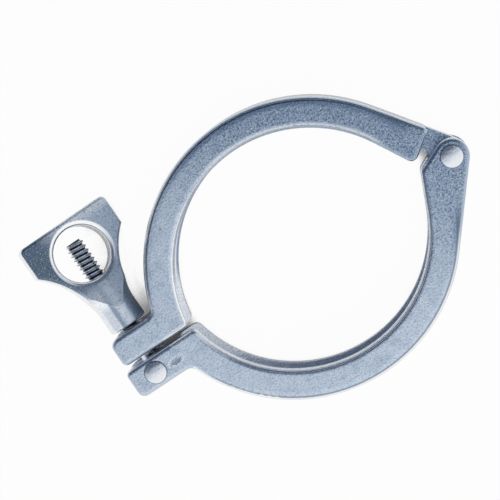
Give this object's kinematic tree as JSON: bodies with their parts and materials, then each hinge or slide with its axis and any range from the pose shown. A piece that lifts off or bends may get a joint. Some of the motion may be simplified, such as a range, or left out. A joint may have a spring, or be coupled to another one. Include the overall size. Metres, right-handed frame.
{
  "type": "sanitary hinged clamp",
  "caption": "Hinged stainless clamp whose grooved half rings draw two pipe ferrules together, closed by a swing bolt and a wing nut.",
  "frame": {"origin": "centre of the upper jaw's ring, halfway between its two faces; the ferrules' axis when the clamp is closed on them", "axes": "+Z along the ring's axis, up when the clamp lies flat; +X along the split from the lugs to the hinge; +Y from the split into the upper jaw"},
  "size_m": [0.1709, 0.1199, 0.0239],
  "materials": {
    "cast_stainless": "satin, tumbled investment casting with rounded bright edges",
    "bright_stainless": "polished rivet heads",
    "threaded_stainless": "cut thread",
    "nut_stainless": "fine sand-cast faces with polished edges"
  },
  "bodies": {
    "upper_jaw": {"upper_jaw": "cast_stainless"},
    "lower_jaw": {"lower_jaw": "cast_stainless", "hinge_pin": "bright_stainless", "bolt_pin": "bright_stainless"},
    "eye_bolt": {"eye_bolt": "threaded_stainless"},
    "wing_nut": {"wing_nut": "nut_stainless"}
  },
  "joints": [
    {"name": "jaw_hinge", "type": "hinge", "parent": "upper_jaw", "child": "lower_jaw", "pos_m": [0.06899, 0.00481, 0], "axis": [0, 0, 1], "range_deg": [0, 12.5]},
    {"name": "bolt_swing", "type": "hinge", "parent": "lower_jaw", "child": "eye_bolt", "pos_m": [-0.0746, -0.0015, 0], "axis": [0, 0, 1], "range_deg": [0, 110]},
    {"name": "nut_travel", "type": "slide", "parent": "eye_bolt", "child": "wing_nut", "axis": [0, 1, 0], "range_m": [0, 0.034]}
  ],
  "couplings": [
    {"joint": "nut_travel", "follows": "jaw_hinge", "m_per_rad": 0.146}
  ]
}
